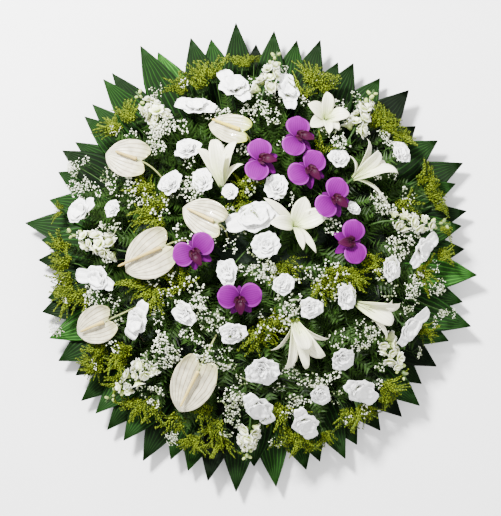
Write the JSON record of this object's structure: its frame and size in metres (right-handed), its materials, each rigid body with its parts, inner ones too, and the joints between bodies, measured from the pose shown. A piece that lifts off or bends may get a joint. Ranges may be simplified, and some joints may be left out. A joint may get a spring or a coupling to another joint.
{
  "type": "funeral wreath",
  "caption": "Round disc wreath of cream, white and magenta flowers over dark foliage, ringed by pointed palm leaves, on a flat backing board.",
  "frame": {"origin": "centre of the backing board's back face, which lies on the table", "axes": "+Z out of the back face towards the flowers, +Y to the top of the wreath as it stands on display, +X to its right as seen from the front"},
  "size_m": [1.0061, 1.044, 0.2435],
  "materials": {
    "board_wood": "raw plywood",
    "wet_foam": "dark green porous foam, damp",
    "palm_leaf": "dark green waxy leaf",
    "cream_spathe": "cream-white waxy spathe",
    "spadix": "beaded yellow and cream flesh",
    "lily_tepal": "pale green-white matt petal",
    "orchid_petal": "magenta velvety petal",
    "white_petal": "white soft petal",
    "spike_floret": "pale green-white small florets",
    "goldenrod": "fuzzy yellow-green plume",
    "gypsophila": "tiny white florets",
    "fern_green": "dark green fine foliage"
  },
  "bodies": {
    "root": {"backing_board": "board_wood", "foam_pad": "wet_foam", "palm_leaves_back_1": "palm_leaf", "palm_leaves_back_2": "palm_leaf", "palm_leaves_back_3": "palm_leaf", "palm_leaves_front_1": "palm_leaf", "palm_leaves_front_2": "palm_leaf", "palm_leaves_front_3": "palm_leaf", "anthurium_1": "cream_spathe", "anthurium_spadix_1": "spadix", "anthurium_2": "cream_spathe", "anthurium_spadix_2": "spadix", "anthurium_3": "cream_spathe", "anthurium_spadix_3": "spadix", "anthurium_4": "cream_spathe", "anthurium_spadix_4": "spadix", "anthurium_5": "cream_spathe", "anthurium_spadix_5": "spadix", "anthurium_6": "cream_spathe", "anthurium_spadix_6": "spadix", "orchid_spray": "orchid_petal", "orchid_1": "orchid_petal", "orchid_2": "orchid_petal", "lily_1": "lily_tepal", "lily_2": "lily_tepal", "lily_3": "lily_tepal", "lily_4": "lily_tepal", "lily_5": "lily_tepal", "lily_6": "lily_tepal", "lisianthus_01": "white_petal", "lisianthus_02": "white_petal", "lisianthus_03": "white_petal", "lisianthus_04": "white_petal", "lisianthus_05": "white_petal", "lisianthus_06": "white_petal", "lisianthus_07": "white_petal", "lisianthus_08": "white_petal", "lisianthus_09": "white_petal", "lisianthus_10": "white_petal", "lisianthus_11": "white_petal", "lisianthus_12": "white_petal", "lisianthus_13": "white_petal", "flower_spike_1": "spike_floret", "flower_spike_2": "spike_floret", "flower_spike_3": "spike_floret", "flower_spike_4": "spike_floret", "flower_spike_5": "spike_floret", "flower_spike_6": "spike_floret", "flower_spike_7": "spike_floret", "flower_spike_8": "spike_floret", "goldenrod_1": "goldenrod", "goldenrod_2": "goldenrod", "goldenrod_3": "goldenrod", "goldenrod_4": "goldenrod", "gypsophila_1": "gypsophila", "gypsophila_2": "gypsophila", "gypsophila_3": "gypsophila", "fern_1": "fern_green", "fern_2": "fern_green", "fern_3": "fern_green"}
  },
  "joints": []
}
